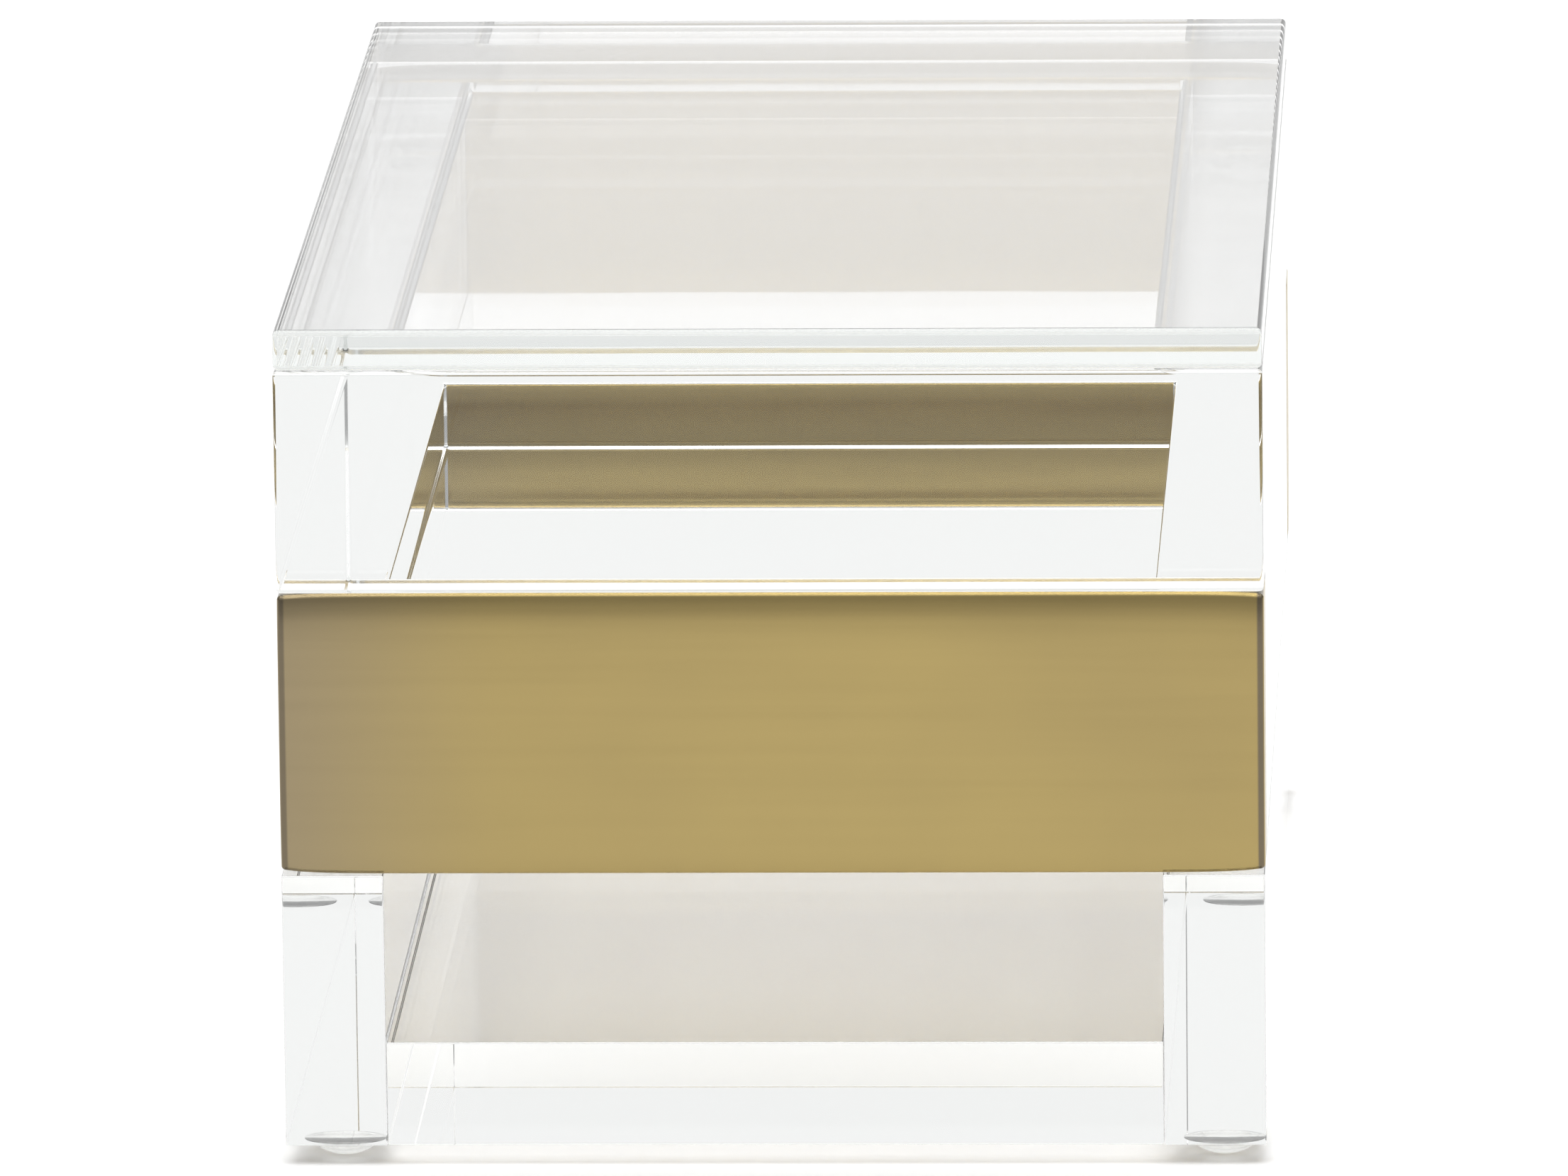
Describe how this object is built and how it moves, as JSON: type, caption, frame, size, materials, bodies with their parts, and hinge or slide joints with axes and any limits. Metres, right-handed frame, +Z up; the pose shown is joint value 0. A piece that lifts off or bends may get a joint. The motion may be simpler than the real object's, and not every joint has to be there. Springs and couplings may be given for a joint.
{
  "type": "card box",
  "caption": "Clear acrylic box for cards with brass bars at the front and back, an open slot below them and a solid lift-off lid with a plug.",
  "frame": {"origin": "on the table under the centre of the box, at the underside of the feet", "axes": "+X to the box's right seen from the front, +Y to the back along its length, +Z up; the short brass front faces -Y"},
  "size_m": [0.1524, 0.254, 0.1323],
  "materials": {
    "clear_acrylic": "polished clear acrylic",
    "satin_brass": "satin",
    "clear_bumper": "clear elastomer"
  },
  "bodies": {
    "box": {"front_bar": "satin_brass", "back_bar": "satin_brass", "left_side_bar": "clear_acrylic", "right_side_bar": "clear_acrylic", "left_leg_wall": "clear_acrylic", "right_leg_wall": "clear_acrylic", "floor_slab": "clear_acrylic", "foot_front_left": "clear_bumper", "foot_front_right": "clear_bumper", "foot_back_left": "clear_bumper", "foot_back_right": "clear_bumper"},
    "lid": {"lid_plate": "clear_acrylic", "lid_block": "clear_acrylic", "lid_plug": "clear_acrylic"}
  },
  "joints": [
    {"name": "lid_lift", "type": "slide", "parent": "box", "child": "lid", "axis": [0, 0, 1], "range_m": [0, 0.04]}
  ]
}
